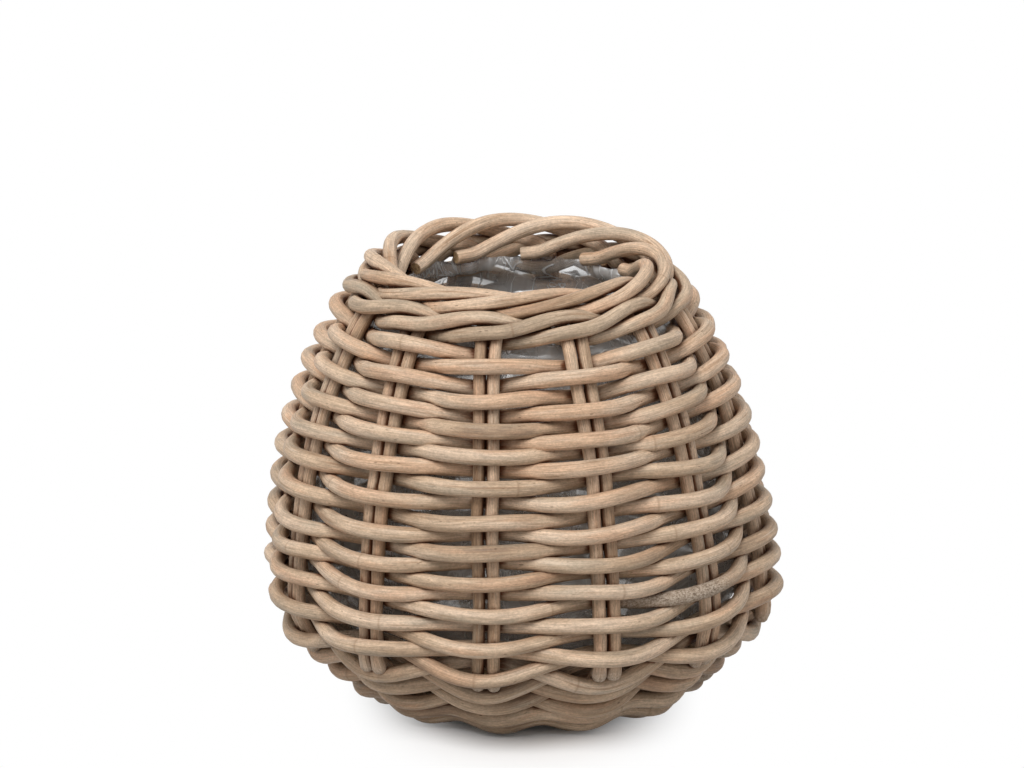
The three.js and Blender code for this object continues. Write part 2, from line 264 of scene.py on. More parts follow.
lamp = bpy.data.objects.new("soft_lamp", bpy.data.lights.new("soft_lamp", "SUN"))
lamp.data.energy = LAMP_STRENGTH
lamp.data.angle = LAMP_SOFTNESS
lamp.rotation_euler = LAMP_TOWARDS.to_track_quat("-Z", "Y").to_euler()
scene.collection.objects.link(lamp)
scene.view_settings.view_transform = "Standard"
print("light: room", ROOM_LIGHT, "and lamp", LAMP_STRENGTH)

# %% [markdown]
# ## The wall
# The stakes draw the outline of the pot: flat across the foot, out to a low belly, and
# in again to the neck. Every rod is placed by this line, so it is worked out first as
# radius and height, with its length measured along it. A rod then needs only three
# numbers at each point: the angle round the pot, the length up the wall, and how far it
# stands in front of or behind the stakes.

# %% Sizes of the pot
HEIGHT = 350 * MM
BELLY_RADIUS = 202.5 * MM
FOOT_RADIUS = 95 * MM
STAKE_DIAMETER = 9.8 * MM
WEAVER_DIAMETER = 10.7 * MM
WALE_DIAMETER = 10.4 * MM
SPOKE_DIAMETER = 11 * MM
BASE_WEAVER_DIAMETER = 8 * MM
ROD_CLEARANCE = 0.5 * MM
ROW_CLEARANCE = 0.3 * MM
PAIR_GAP = 1.2 * MM
END_GAP = 0.6 * MM
FOOT_CUT = 0.8 * MM
STAKE_PAIRS = 12
FIRST_PAIR_ANGLE = -10
PAIR_STEP = 360 / STAKE_PAIRS

PAIR_OFFSET = (STAKE_DIAMETER + PAIR_GAP) / 2
PASS_HALF = PAIR_OFFSET + 3 * MM
PASS_OUT = (SPOKE_DIAMETER + WEAVER_DIAMETER) / 2 + ROD_CLEARANCE
WALL_HALF = PASS_OUT + WEAVER_DIAMETER / 2
BASE_HEIGHT = WALL_HALF - FOOT_CUT
print("pot:", 2 * BELLY_RADIUS, "m across and", HEIGHT, "m high")


# %% Lines through points
def bent_line(points, gaps, steps, end_pull=1.0):
    """A smooth line through points, with a number of steps in each of the gaps."""
    slopes = np.diff(points, axis=0) / gaps[:, None]
    pulls = np.empty_like(points)
    shares = (gaps[:-1] + gaps[1:])[:, None]
    pulls[1:-1] = (slopes[:-1] * gaps[1:, None] + slopes[1:] * gaps[:-1, None]) / shares
    pulls[0] = slopes[0] * end_pull
    pulls[-1] = slopes[-1] * end_pull
    u = np.linspace(0, 1, steps, endpoint=False)[:, None]
    line = []
    for i, gap in enumerate(gaps):
        line.append((2 * u**3 - 3 * u**2 + 1) * points[i] + (3 * u**2 - 2 * u**3) * points[i + 1]
                    + (u**3 - 2 * u**2 + u) * gap * pulls[i] + (u**3 - u**2) * gap * pulls[i + 1])
    return np.vstack([*line, points[-1:]])


def lengths_along(line):
    return np.concatenate([[0], np.cumsum(np.linalg.norm(np.diff(line, axis=0), axis=1))])


def at_lengths(line, along, wanted):
    return np.column_stack([np.interp(wanted, along, column) for column in line.T])


def bent_rod(stations, step):
    """A rod's route through its stations, with points an even step apart."""
    stations = np.array(stations)
    line = bent_line(stations, np.linalg.norm(np.diff(stations, axis=0), axis=1), steps=24)
    along = lengths_along(line)
    return at_lengths(line, along, np.linspace(0, along[-1], max(8, round(along[-1] / step))))


def eased(route, reach):
    """A route with its kinks rounded off, over a reach of points to each side."""
    weights = np.hanning(2 * reach + 3)[1:-1]
    weights /= weights.sum()
    held = np.pad(route, ((reach, reach), (0, 0)), mode="reflect", reflect_type="odd")
    return np.column_stack([np.convolve(column, weights, mode="valid") for column in held.T])


print("lines can be bent through points")

# %% Wall line
FOOT_WIDTH = 14
CORNER_LENGTH = 12
FLANK = (161, 56)
BELLY_LEVEL = 92
SHOULDER = (166.5, 217)
COLLAR = (130, 301)
NECK = (109, 322)


def wall_line():
    """Radius and height of the stakes' centre line, drawn in millimetres from foot to neck."""
    level = BASE_HEIGHT / MM
    foot_start = FOOT_RADIUS / MM
    foot_end = foot_start + FOOT_WIDTH
    foot = np.array([[foot_start, level], [foot_end, level]])
    corner = np.array([foot_end + CORNER_LENGTH, level])
    towards = np.array(FLANK) - corner
    corner_end = corner + towards * CORNER_LENGTH / np.linalg.norm(towards)
    u = np.linspace(0, 1, 40)[1:, None]
    toe = (1 - u) ** 2 * foot[1] + 2 * u * (1 - u) * corner + u**2 * corner_end
    belly = (BELLY_RADIUS / MM - WALL_HALF / MM, BELLY_LEVEL)
    up = np.array([corner_end, FLANK, belly, SHOULDER, COLLAR, NECK])
    side = bent_line(up, np.ones(len(up) - 1), steps=80, end_pull=0.5)
    return np.vstack([foot, toe, side[1:]]) * MM


wall = wall_line()
wall_along = lengths_along(wall)
WALL_LENGTH = wall_along[-1]
wall_rise = np.gradient(wall, wall_along, axis=0)


def around(angle, radius, height):
    """Points at angles in degrees, counted from the front towards the right."""
    turn = np.radians(angle)
    columns = np.broadcast_arrays(radius * np.sin(turn), -radius * np.cos(turn), height)
    return np.column_stack(columns)


def on_wall(angle, along, out, shift=0.0):
    """Points on the wall, out in front of the stakes and shifted to the right along the ring."""
    radius, height = at_lengths(wall, wall_along, along).T
    rise_out, rise_up = at_lengths(wall_rise, wall_along, along).T
    turned = angle + np.degrees(shift / radius)
    return around(turned, radius + out * rise_up, height - out * rise_out)


def pair_angle(crossing):
    return FIRST_PAIR_ANGLE + crossing * PAIR_STEP


def leaned(points):
    """The pot was pulled a little to the left as it grew, so everything leans with its height."""
    height = points[:, 2]
    sideways = np.interp(height, LEAN_HEIGHTS, LEAN_OFFSETS)
    return points + np.column_stack([sideways, np.zeros((len(points), 2))])


LEAN_HEIGHTS = np.array([5, 50, 90, 130, 190, 280, 325]) * MM
LEAN_OFFSETS = np.array([4, -1, 0, -1, -4, -3.5, -4.5]) * MM
print("wall:", round(WALL_LENGTH, 3), "m from foot to neck")

# %% [markdown]
# ## A rattan rod
# A rattan cane is solid and round, but never even: its thickness drifts, a swollen ring
# crosses it where a leaf once grew, and its colour changes from cane to cane. A bevelled
# curve makes such a rod in one go, because each point of the curve has its own radius.
# It becomes a mesh, so that the distance along the cane, its leaf scars, its tint and
# what bark is left on it can be written on its points for the material to read.

# %% Rod maker
ROD_STEP = 4 * MM
RIM_ROUNDING = 1.4 * MM
RIM_NARROW = 0.16
UNEVENNESS = 0.04
TINT_DRIFT = 0.16
FIRST_SCAR = (0.01, 0.3)
SCAR_APART = (0.2, 0.5)
SCAR_RISE = 0.05
SCAR_REACH = 1.7 * MM
SCAR_MARK = 0.9 * MM
SCAR_RINGS = np.array([-3, -2, -1.2, -0.6, 0, 0.6, 1.2, 2, 3]) * MM
END_RINGS = np.array([0.3, 0.8, RIM_ROUNDING / MM]) * MM
LEAST_STEP = 0.2 * MM
BEVEL_RESOLUTION = 5
ROD_SIDES = 4 + 2 * BEVEL_RESOLUTION
ROD_SPACING = 7.3
PATTERN_SHIFTS = 97
rod_lines = {}


def drift(draw, at, paces):
    """A slow random wave of about one either way."""
    return sum(np.sin(at * pace + draw.uniform(0, 2 * math.pi)) for pace in paces) / len(paces)


def leaf_scars(draw, length):
    places = [draw.uniform(*FIRST_SCAR)]
    while places[-1] < length:
        places.append(places[-1] + draw.uniform(*SCAR_APART))
    return np.array(places)


def rod_stations(route, scars):
    """Lengths along the rod that get a ring: even steps, and more at scars and ends."""
    along = lengths_along(route)
    at_scars = (scars[:, None] + SCAR_RINGS).ravel()
    wanted = np.concatenate([along[1:-1], at_scars, END_RINGS, along[-1] - END_RINGS])
    wanted = np.unique(wanted[(wanted > 0) & (wanted < along[-1])])
    kept = wanted[np.concatenate([[True], np.diff(wanted) > LEAST_STEP])]
    kept = np.concatenate([[0], kept, [along[-1]]])
    return kept, at_lengths(route, along, kept)


def rod_mesh(name, points, radii):
    """Sweep a round section along the points, closed at both ends."""
    curve = bpy.data.curves.new(name, "CURVE")
    curve.dimensions = "3D"
    curve.bevel_depth = 1
    curve.bevel_resolution = BEVEL_RESOLUTION
    curve.use_fill_caps = True
    spline = curve.splines.new("POLY")
    spline.points.add(len(points) - 1)
    spline.points.foreach_set("co", np.column_stack([points, np.ones(len(points))]).ravel())
    spline.points.foreach_set("radius", radii)
    route = bpy.data.objects.new(name, curve)
    scene.collection.objects.link(route)
    swept = route.evaluated_get(bpy.context.evaluated_depsgraph_get())
    mesh = bpy.data.meshes.new_from_object(swept)
    bpy.data.objects.remove(route)
    bpy.data.curves.remove(curve)
    return mesh


def write_on(mesh, name, kind, values):
    layer = mesh.attributes.new(name, kind, "POINT")
    field = "vector" if kind == "FLOAT_VECTOR" else "value"
    layer.data.foreach_set(field, np.ascontiguousarray(values, dtype=np.float32).ravel())


def finish_rod(mesh):
    """Close the ends, shade the cane smooth and its cut faces flat, and keep it off the floor."""
    form = bmesh.new()
    form.from_mesh(mesh)
    for face in form.faces:
        cut = len(face.verts) == 3
        face.material_index = int(cut)
        face.smooth = not cut
    bmesh.ops.remove_doubles(form, verts=form.verts, dist=0.001 * MM)
    bmesh.ops.recalc_face_normals(form, faces=form.faces)
    for vertex in form.verts:
        vertex.co.z = max(vertex.co.z, 0)
    form.to_mesh(mesh)
    form.free()


def make_rod(name, route, diameter, finishes, node, seed, tint, bark=None, swell=None):
    """A finished rod. Bark and swell, and the tint too, may be given as lengths with values."""
    draw = np.random.RandomState(seed)
    route = leaned(route)
    scars = leaf_scars(draw, lengths_along(route)[-1])
    along, points = rod_stations(route, scars)
    to_scar = np.abs(along[:, None] - scars).min(axis=1)
    to_end = np.minimum(along, along[-1] - along)
    thickness = 1 + UNEVENNESS * drift(draw, along, (21, 57, 113))
    thickness += SCAR_RISE * np.exp(-((to_scar / SCAR_REACH) ** 2))
    thickness *= 1 - RIM_NARROW + RIM_NARROW * np.sqrt(np.clip(to_end / RIM_ROUNDING, 0, 1))
    if swell is not None:
        thickness *= np.interp(along, *swell)
    mesh = rod_mesh(name, points, diameter / 2 * thickness)

    tone = np.interp(along, *tint) if isinstance(tint, tuple) else tint
    tone = tone + TINT_DRIFT * drift(draw, along, (9, 23, 41))
    barked = np.zeros(len(along)) if bark is None else np.interp(along, *bark)
    last = len(along) - 1
    caps = [np.full(ROD_SIDES, last), np.zeros(ROD_SIDES, int)]
    ring = np.concatenate([*caps, np.repeat(np.arange(last + 1), ROD_SIDES)])
    turn = np.tile(np.arange(ROD_SIDES), last + 3) * 2 * math.pi / ROD_SIDES
    across = diameter / 2 * np.column_stack([np.cos(turn), np.sin(turn)])
    onward = along[ring] + seed % PATTERN_SHIFTS * ROD_SPACING
    write_on(mesh, "cane", "FLOAT_VECTOR", np.column_stack([across, onward]))
    write_on(mesh, "ring", "FLOAT", ring)
    write_on(mesh, "scar", "FLOAT", np.exp(-((to_scar / SCAR_MARK) ** 2))[ring])
    write_on(mesh, "tint", "FLOAT", tone[ring])
    write_on(mesh, "bark", "FLOAT", barked[ring])
    finish_rod(mesh)
    for finish in finishes:
        mesh.materials.append(finish)
    rod = bpy.data.objects.new(name, mesh)
    scene.collection.objects.link(rod)
    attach(rod, "root")
    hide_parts(node)
    rod_lines[name] = points


print("a rod has", ROD_SIDES, "sides and a ring every", ROD_STEP, "m")

# %% [markdown]
# ## Rattan
# The canes are peeled, washed and greyed, so their skin is a dull beige with fine fibres
# along it, small dark pits, long brown stains, and a dark line at each leaf scar. Where
# bark was left on, it is rough and grey, and painted shade darkens the nooks between rods.
# All of it is drawn in the cane's own coordinates, round it and along it, so that the
# pattern follows each bend and has no seam. One recipe serves all rods, with its own row
# of colours for each kind.

# %% Rattan finish
WARM = paint(206, 163, 130)
GREYED = paint(170, 158, 139)
PALE_STREAK = paint(224, 204, 181)
PIT = paint(82, 58, 40)
SCAR_LINE = paint(128, 98, 72)
PAINTED_NOOK_SHADE = paint(128, 84, 48)
RATTAN_SHEEN = 0.3
PITH_TONES = ((0.3, paint(150, 118, 84)), (0.7, paint(196, 164, 122)))
PORE = paint(72, 50, 34)


def rattan(name, tones, stain, grain=(0.75, 1.09)):
    material, tree, shader = new_material(name)
    cane = attribute(tree, "cane").outputs["Vector"]
    tint = attribute(tree, "tint").outputs["Fac"]
    scar = attribute(tree, "scar").outputs["Fac"]
    bark = attribute(tree, "bark").outputs["Fac"]
    nook = attribute(tree, "nook").outputs["Fac"]
    patches = cloudy(tree, stretched(tree, cane, (70, 70, 10)), 1, detail=3)
    warmth = cloudy(tree, stretched(tree, cane, (90, 90, 16)), 1, detail=2)
    mottle = cloudy(tree, stretched(tree, cane, (330, 330, 90)), 1, detail=4, roughness=0.6)
    fibres = cloudy(tree, stretched(tree, cane, (1500, 1500, 42)), 1, detail=2, roughness=0.6)
    streaks = cloudy(tree, stretched(tree, cane, (420, 420, 18)), 1, detail=4, roughness=0.6)
    pits = cells(tree, stretched(tree, cane, (380, 380, 120)), 1)
    speckle = cloudy(tree, stretched(tree, cane, (700, 700, 420)), 1, detail=3, roughness=0.7)
    rough = cloudy(tree, stretched(tree, cane, (820, 820, 560)), 1, detail=3, roughness=0.75)

    tone = reckon(tree, "ADD", tint, between(tree, patches, 0.25, 0.75, -0.32, 0.32))
    colour = toned(tree, tone, tones)
    colour = blended(tree, between(tree, warmth, 0.52, 0.7, 0, 0.5), colour, WARM)
    colour = blended(tree, between(tree, warmth, 0.28, 0.46, 0.5, 0), colour, GREYED)
    shade = between(tree, fibres, 0.3, 0.7, *grain)
    shade = reckon(tree, "MULTIPLY", shade, between(tree, mottle, 0.3, 0.7, 0.86, 1.1))
    shade = reckon(tree, "MULTIPLY", shade, between(tree, speckle, 0.3, 0.7, 0.84, 1.13))
    colour = blended(tree, 1.0, colour, shade, "MULTIPLY")
    colour = blended(tree, between(tree, streaks, 0.55, 0.72, 0, 0.6), colour, stain)
    colour = blended(tree, between(tree, streaks, 0.26, 0.42, 0.45, 0), colour, PALE_STREAK)
    pitted = between(tree, pits, 0.1, 0.22, 1, 0)
    pitted = reckon(tree, "MULTIPLY", pitted, between(tree, mottle, 0.5, 0.64))
    colour = blended(tree, reckon(tree, "MULTIPLY", pitted, 0.62), colour, PIT)
    scarred = reckon(tree, "MULTIPLY", scar, between(tree, speckle, 0.3, 0.6, 0.12, 0.5))
    colour = blended(tree, scarred, colour, SCAR_LINE)
    colour = blended(tree, bark, colour, toned(tree, rough, BARK_TONES))
    # Painted shade: the nooks between rods are darkened brown, as far as the neighbouring rods
    # close each point in.
    uneven_nook_shade = reckon(tree, "ADD", nook, between(tree, mottle, 0.3, 0.7, -0.12, 0.12))
    painted_nook_shade = between(tree, uneven_nook_shade, 0.36, 0.98, 0, 0.95)
    colour = blended(tree, painted_nook_shade, colour, PAINTED_NOOK_SHADE, "MULTIPLY")
    feed(tree, shader.inputs["Base Color"], colour)

    dull = between(tree, mottle, 0.3, 0.7, 0.48, 0.7)
    dull = reckon(tree, "ADD", dull, reckon(tree, "MULTIPLY", bark, 0.2))
    feed(tree, shader.inputs["Roughness"], dull)
    shader.inputs["Specular IOR Level"].default_value = RATTAN_SHEEN
    height = reckon(tree, "ADD", fibres, reckon(tree, "MULTIPLY", mottle, 1.4))
    rough_bark = reckon(tree, "MULTIPLY", bark, rough)
    height = reckon(tree, "ADD", height, reckon(tree, "MULTIPLY", rough_bark, 3.0))
    height = reckon(tree, "SUBTRACT", height, reckon(tree, "MULTIPLY", pitted, 1.2))
    feed(tree, shader.inputs["Normal"], raised(tree, height, 0.5, 0.35 * MM))
    return material


def cut_rattan(name):
    """The cut face of a cane: pale brown pith full of dark pores."""
    material, tree, shader = new_material(name)
    place = tree.nodes.new("ShaderNodeTexCoord").outputs["Object"]
    pores = cells(tree, place, 1150)
    blotches = cloudy(tree, place, 420, detail=3)
    colour = toned(tree, blotches, PITH_TONES)
    colour = blended(tree, between(tree, pores, 0.2, 0.42, 0.85, 0), colour, PORE)
    feed(tree, shader.inputs["Base Color"], colour)
    feed(tree, shader.inputs["Roughness"], between(tree, pores, 0.2, 0.5, 0.95, 0.8))
    feed(tree, shader.inputs["Normal"], raised(tree, pores, 0.6, 0.4 * MM))
    return material


BARK_TONES = (
    (0.34, paint(106, 89, 74)),
    (0.46, paint(152, 134, 116)),
    (0.68, paint(198, 183, 166)),
)
WEAVER_TONES = (
    (0.0, paint(148, 122, 99)),
    (0.25, paint(182, 155, 128)),
    (0.5, paint(205, 178, 150)),
    (0.75, paint(218, 192, 166)),
    (1.0, paint(213, 178, 147)),
)
STAKE_TONES = (
    (0.0, paint(158, 128, 100)),
    (0.3, paint(194, 164, 135)),
    (0.6, paint(216, 186, 157)),
    (1.0, paint(228, 201, 174)),
)
WALE_TONES = (
    (0.0, paint(146, 125, 104)),
    (0.3, paint(181, 158, 133)),
    (0.6, paint(201, 177, 151)),
    (1.0, paint(215, 191, 165)),
)
STAIN = paint(142, 108, 78)
STAKE_STAIN = paint(138, 98, 62)
STAKE_GRAIN = (0.68, 1.12)

pith = cut_rattan("rattan_cut_end")
weaver_finish = (rattan("rattan_weaver", WEAVER_TONES, STAIN), pith)
stake_finish = (rattan("rattan_stake", STAKE_TONES, STAKE_STAIN, STAKE_GRAIN), pith)
wale_finish = (rattan("rattan_wale", WALE_TONES, STAIN), pith)
base_finish = (rattan("rattan_base", STAKE_TONES, STAIN), pith)
print("finishes:", [material.name for material in bpy.data.materials])

# %% [markdown]
# ## Weavers
# Two rods chase each other up the wall: where one passes in front of a pair of stakes,
# the other passes behind it. A thick rod can't turn sharply, so it swings in one easy
# wave from front to back. The rows also drift, sag and sway a little, as hand work does.
# Each rod is cut and pieced on behind a pair, where the joint can't be seen.

# %% Weavers
WALE_RISE = (WALE_DIAMETER + ROD_CLEARANCE) / 2
WALE_HALF_HEIGHT = WALE_RISE + WALE_DIAMETER / 2
NECK_BARE = 0.5 * MM
WALE_LEVEL = WALL_LENGTH - WALE_HALF_HEIGHT - NECK_BARE
WEAVE_TOP = WALE_LEVEL - WALE_HALF_HEIGHT - ROW_CLEARANCE - WEAVER_DIAMETER / 2
FIRST_ROW = 1.5 * MM
STRAND_STARTS = (5, 12)
STRAND_ZEROS = (5, 11)
RODS_PER_STRAND = 7
LATE_TURNS = (STRAND_STARTS[1] - STRAND_ZEROS[1]) / STAKE_PAIRS
LEAST_TURN_RISE = 2 * (WEAVER_DIAMETER + ROW_CLEARANCE)
WEAVE_TURNS = math.floor((WEAVE_TOP - FIRST_ROW) / LEAST_TURN_RISE - LATE_TURNS)
ROW_PITCH = (WEAVE_TOP - FIRST_ROW) / (2 * (WEAVE_TURNS + LATE_TURNS))
STEPS_PER_CROSSING = 30
FOOTING = 45 * MM
FOOTING_DIP = 0.6
ROW_DRIFT = 0.8 * MM
WEAVE_SWAY = 7 * MM
SWAY_REACH = 55 * MM
SWAY_PATCHES = 1.9
PASS_UNEVEN = 0.05
FRONT_SAG = 1.4 * MM
FREE_ROWS = 3
WEAVER_SWELL = (1.08, 1.16)
WEAVER_TINT = 0.19
PAINTED_LIGHT_RISE = 0.041
TINT_SPREAD = 0.16
BARK_LEVEL = 165 * MM
LONG_BARK = (np.array([-0.98, -0.8, -0.1, 0.2]), (0, 1, 1, 0))
SHORT_BARK = ((0.1, 0.35), (0.8, 0))
SHORT_BARK_CHANCE = 0.35
STAKE_FOOT = 91 * MM
FOOT_ROOM = 5 * MM


def row_level(strand, crossing):
    return FIRST_ROW + 2 * ROW_PITCH * (crossing - STRAND_ZEROS[strand]) / STAKE_PAIRS


def stake_foot(pair):
    """A pair starts midway between two front rows."""
    crossing = pair
    while row_level(pair % 2, crossing) + ROW_PITCH < STAKE_FOOT:
        crossing += STAKE_PAIRS
    return row_level(pair % 2, crossing) + ROW_PITCH


def foot_room(strand, crossing):
    """The row under a pair of feet is pushed down by them."""
    pair = np.round(crossing).astype(int)
    above = np.array([row_level(strand, near) - stake_foot(near % STAKE_PAIRS) for near in pair])
    carries = (above < -0.5 * ROW_PITCH) & (above > -1.5 * ROW_PITCH)
    return np.where(carries, -FOOT_ROOM * np.cos(math.pi * (crossing - pair)) ** 2, 0)


def weaver_runs():
    """Strand, first and last crossing of each rod, from the foot up."""
    runs = []
    crossings = WEAVE_TURNS * STAKE_PAIRS
    for strand, start in enumerate(STRAND_STARTS):
        rods = range(RODS_PER_STRAND + 1)
        pairs = [math.floor(rod * crossings / RODS_PER_STRAND / 2 + 0.5) for rod in rods]
        cuts = [start + 2 * pair for pair in pairs]
        runs += [(strand, first, last) for first, last in zip(cuts, cuts[1:])]
    return sorted(runs, key=lambda run: row_level(run[0], run[1]))


def pass_side(strand, crossing):
    """1 where a weaver passes in front of a pair and -1 where it passes behind."""
    outside = (row_level(strand, crossing) < FOOTING) & (crossing > STRAND_STARTS[strand])
    return np.where(outside | ((crossing + strand) % 2 == 0), 1, -1)


def swing(strand, crossing):
    """The easy wave of a weaver from side to side. It dips between two pairs on the same side."""
    pair = np.floor(crossing)
    here = pass_side(strand, pair)
    there = pass_side(strand, pair + 1)
    share = crossing - pair
    dip = np.where(here == there, FOOTING_DIP * np.sin(math.pi * share) ** 2, 0)
    return here + (there - here) * (1 - np.cos(math.pi * share)) / 2 - dip


def weave_sway(crossing, level):
    """How the rows of a patch of the wall ride up or down together."""
    turn = np.radians(pair_angle(crossing))
    across = SWAY_PATCHES * np.column_stack([np.sin(turn), np.cos(turn)])
    spots = np.column_stack([across, level / SWAY_REACH])
    return WEAVE_SWAY * np.array([noise.noise(Vector(spot)) for spot in spots])


def weaver_route(strand, first, last, draw):
    crossing = np.linspace(first, last, (last - first) * STEPS_PER_CROSSING + 1)
    side = swing(strand, crossing)
    level = row_level(strand, crossing)
    free_below = np.clip((level - FOOTING) / (FREE_ROWS * ROW_PITCH), 0, 1)
    free_above = np.clip((WEAVE_TOP - level) / (FREE_ROWS * ROW_PITCH), 0, 1)
    wave = ROW_DRIFT * drift(draw, crossing, (0.9, 1.7, 2.9))
    level += free_below * free_above * (wave + weave_sway(crossing, level) - FRONT_SAG * side)
    level += foot_room(strand, crossing)
    out = PASS_OUT * side * (1 + PASS_UNEVEN * drift(draw, crossing, (1.1, 2.3)))
    line = on_wall(pair_angle(crossing), level, out)
    along = lengths_along(line)
    kept = np.linspace(END_GAP / 2, along[-1] - END_GAP / 2, round(along[-1] / ROD_STEP))
    return at_lengths(line, along, kept), np.interp(kept, along, crossing)


def left_bark(strand, crossings, draw):
    """Where rough grey bark was left on: one long stretch at the front, and short ones."""
    middle = draw.uniform(crossings[0], crossings[-1])
    short = np.interp(np.abs(crossings - middle), *SHORT_BARK)
    short *= draw.uniform() < SHORT_BARK_CHANCE
    long = np.interp(crossings, BARK_CROSSING + LONG_BARK[0], LONG_BARK[1])
    return short if strand else np.maximum(short, long)


BARK_CROSSING = 2 + STAKE_PAIRS * round(((BARK_LEVEL - row_level(0, 2)) / (2 * ROW_PITCH)))
for number, run in enumerate(weaver_runs(), start=1):
    draw = np.random.RandomState(100 + number)
    route, crossings = weaver_route(*run, draw)
    bark = (lengths_along(route), left_bark(run[0], crossings, draw))
    diameter = WEAVER_DIAMETER * draw.uniform(*WEAVER_SWELL)
    # Painted light and shade: each rod up the wall is tinted a step lighter, so the lower rows are
    # darker and the upper rows lighter.
    tint = WEAVER_TINT + PAINTED_LIGHT_RISE * number + draw.uniform(-TINT_SPREAD, TINT_SPREAD)
    make_rod(
        f"weaver_{number:02d}_rattan", route, diameter, weaver_finish,
        f"weaver_{number:02d}", seed=200 + number, tint=tint, bark=bark,
    )
print("weavers:", number, "in", 2 * WEAVE_TURNS, "rows", round(ROW_PITCH / MM, 1), "mm apart")

# %% [markdown]
# ## Stakes and border
# Twelve pairs of upright rods carry the weave, and a few of them wander to one side.
# Their feet are pale, barky knobs that lean out between two rows, low on the flank. The
# right one of each pair stops at the neck. The left one bends to the right there and
# rolls over the rim in a long coil, over its neighbours, until it is cut off inside the
# mouth. Together the twelve coils make the thick rope of the border.

# %% Stakes
STAKE_FLARE = 10 * MM
FOOT_REACH = 7 * MM
FOOT_ROUNDING = 5 * MM
KNOB_LENGTHS = (0, FOOT_ROUNDING / 2, FOOT_ROUNDING, FOOT_ROUNDING + 8 * MM)
KNOB_SWELL = (0.85, 1.16, 1.2, 1.02)
KNOB_BARK = (0.75, 0.75, 0.55, 0.0)
KNOB_PALE = np.array([0.6, 0.6, 0.4, 0])
UPRIGHT_ROWS = 1.2
STAKE_SWAY = 0.5 * MM
STAKE_SPREAD = (0.96, 1.04)
STAKE_TINT = (0.42, 0.85)
FLARE_EASE = 3.5 * MM
ROLL_RADIUS = 9 * MM
ROLL_RING_RADIUS = 106 * MM
ROLL_HEIGHT = HEIGHT - ROLL_RADIUS - STAKE_DIAMETER / 2
WANDER_LENGTHS = np.array([60, 150, 250, 330]) * MM
STAKE_WANDER = {
    0: np.array([2, 5, 5, 0]) * MM,
    1: np.array([0, 0, 4, 0]) * MM,
    10: np.array([0, 4, 5, 0]) * MM,
    11: np.array([4, 6, 6, 0]) * MM,
}
ROLL_TURNS = (-34, 222)
ROLL_TIGHT = 8 * MM
ROLL_LOOSE = 11.5 * MM
FRONT_DIP = 2.5 * MM
ROLL_PER_PAIR = 92
ROLL_LEAD = 10
ROLL_WOBBLE = 5
NECK_LEAD = 1.7
TIP_SHARE = (1.05, 1.13)
TIP_SINK = (3, 7)
SINK_START = 0.7
SINK_SPAN = 0.35
BORDER_SWELL = 1.08
SWELL_FROM = 20 * MM
SWELL_TO = 30 * MM
BORDER_LEAD = 50
BACK_PAINTED_LIGHT = 0.26
NECK_RADIUS, NECK_HEIGHT = wall[-1]
NECK_RISE = 4 * MM
BYE_STAKE_DROP = 4 * MM


def stake_wall(pair, shift, top, draw):
    foot = stake_foot(pair)
    upright = np.linspace(foot + UPRIGHT_ROWS * ROW_PITCH, top, 24)
    lengths = np.concatenate([[foot - FOOT_REACH, foot + ROW_PITCH / 2], upright])
    out = np.concatenate([[STAKE_FLARE, FLARE_EASE], np.zeros(len(upright))])
    sway = STAKE_SWAY * drift(draw, lengths, (19, 43))
    wander = np.interp(lengths, WANDER_LENGTHS, STAKE_WANDER.get(pair, (0, 0, 0, 0)))
    return on_wall(pair_angle(pair), lengths, out, shift + sway + wander)


def roll(angle, turn, sink=0.0):
    """A point of the border, which is rolled tightly and dips a little at the front."""
    about = np.radians(turn)
    back = (1 - np.cos(np.radians(angle))) / 2
    coil = ROLL_TIGHT + (ROLL_LOOSE - ROLL_TIGHT) * back
    radius = ROLL_RING_RADIUS - sink + coil * np.cos(about)
    height = ROLL_HEIGHT - FRONT_DIP * (1 - back) - sink + coil * np.sin(about)
    return around(angle, radius, height)


def stake_border(pair, draw):
    angle = pair_angle(pair) - math.degrees(PAIR_OFFSET / NECK_RADIUS)
    whole_turn = ROLL_TURNS[1] - ROLL_TURNS[0]
    lead = whole_turn * PAIR_STEP / ROLL_PER_PAIR
    share = np.linspace(0, draw.uniform(*TIP_SHARE), 11)
    loose = ROLL_WOBBLE * drift(draw, share, (3, 7))
    neck = around(angle + NECK_LEAD, NECK_RADIUS, NECK_HEIGHT + NECK_RISE)
    turn = ROLL_TURNS[0] + loose + whole_turn * np.minimum(share, 1)
    sunk = np.clip((share - SINK_START) / SINK_SPAN, 0, 1) ** 2
    sink = draw.uniform(*TIP_SINK) * MM * sunk
    coil = roll(angle + ROLL_LEAD + lead * share, turn, sink)
    return np.vstack([neck, coil])


